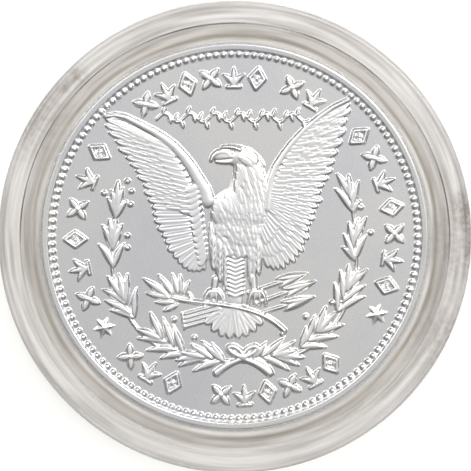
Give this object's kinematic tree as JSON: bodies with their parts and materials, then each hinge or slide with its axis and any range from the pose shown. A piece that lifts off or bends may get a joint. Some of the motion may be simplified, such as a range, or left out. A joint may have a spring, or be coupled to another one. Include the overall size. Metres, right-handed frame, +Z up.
{
  "type": "round coin capsule with coin",
  "caption": "Round clear two-part plastic coin capsule, closed around a large silver coin with a raised-wing bird inside a laurel wreath.",
  "frame": {"origin": "centre of the foot ring's underside, where the closed capsule stands on a table", "axes": "+Z up along the coin's axis, +Y towards the top of the coin's design, +X to the right of it"},
  "size_m": [0.0466, 0.0466, 0.0061],
  "materials": {
    "clear_base": "clear moulded, polished windows",
    "clear_lid": "clear moulded, polished windows",
    "coin_silver": "struck silver, satin fields and frosted relief"
  },
  "bodies": {
    "base": {"capsule_base": "clear_base"},
    "lid": {"capsule_lid": "clear_lid"},
    "coin": {"silver_coin": "coin_silver"}
  },
  "joints": [
    {"name": "lid_lift", "type": "slide", "parent": "base", "child": "lid", "axis": [0, 0, 1], "range_m": [0, 0.03]},
    {"name": "coin_lift", "type": "slide", "parent": "base", "child": "coin", "axis": [0, 0, 1], "range_m": [0, 0.015]}
  ],
  "couplings": [
    {"joint": "coin_lift", "follows": "lid_lift", "ratio": 0.5}
  ]
}
